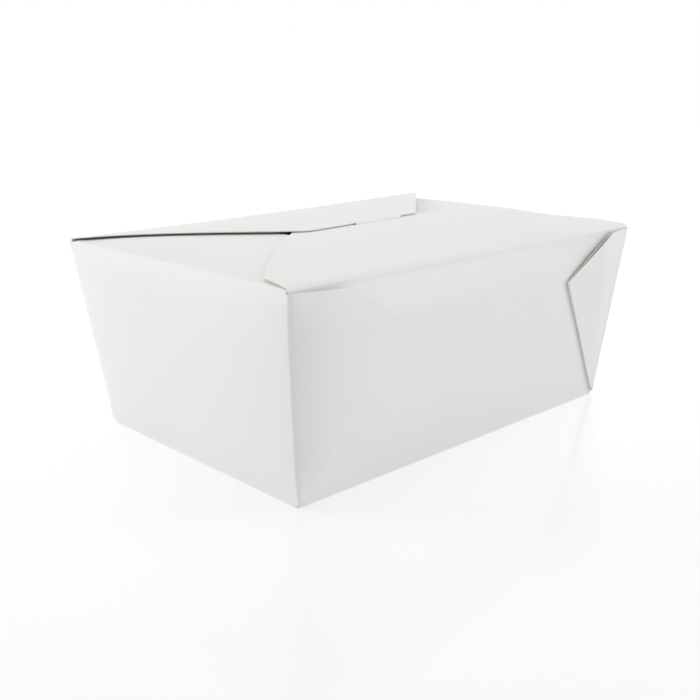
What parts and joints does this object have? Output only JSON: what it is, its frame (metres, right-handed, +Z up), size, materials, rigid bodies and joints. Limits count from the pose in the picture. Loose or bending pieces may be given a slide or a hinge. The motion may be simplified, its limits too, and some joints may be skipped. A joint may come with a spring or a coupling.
{
  "type": "paper lunch box",
  "caption": "Folded paperboard take-out lunch box with flared walls, web corners folded onto the long walls, and a lid flap whose tab tucks into a slot.",
  "frame": {"origin": "under the middle of the base, on the surface the box stands on", "axes": "+X along the long walls, +Y from the slotted near flap's wall to the tuck flap's wall, +Z up"},
  "size_m": [0.2228, 0.1532, 0.0934],
  "materials": {
    "board": "white coated paperboard, satin"
  },
  "bodies": {
    "carton": {"carton": "board"},
    "tuck_flap": {"tuck_flap": "board"}
  },
  "joints": [
    {"name": "tuck_flap_fold", "type": "hinge", "parent": "carton", "child": "tuck_flap", "pos_m": [0, 0.07545, 0.08878], "axis": [-1, 0, 0], "range_deg": [0, 175]}
  ]
}
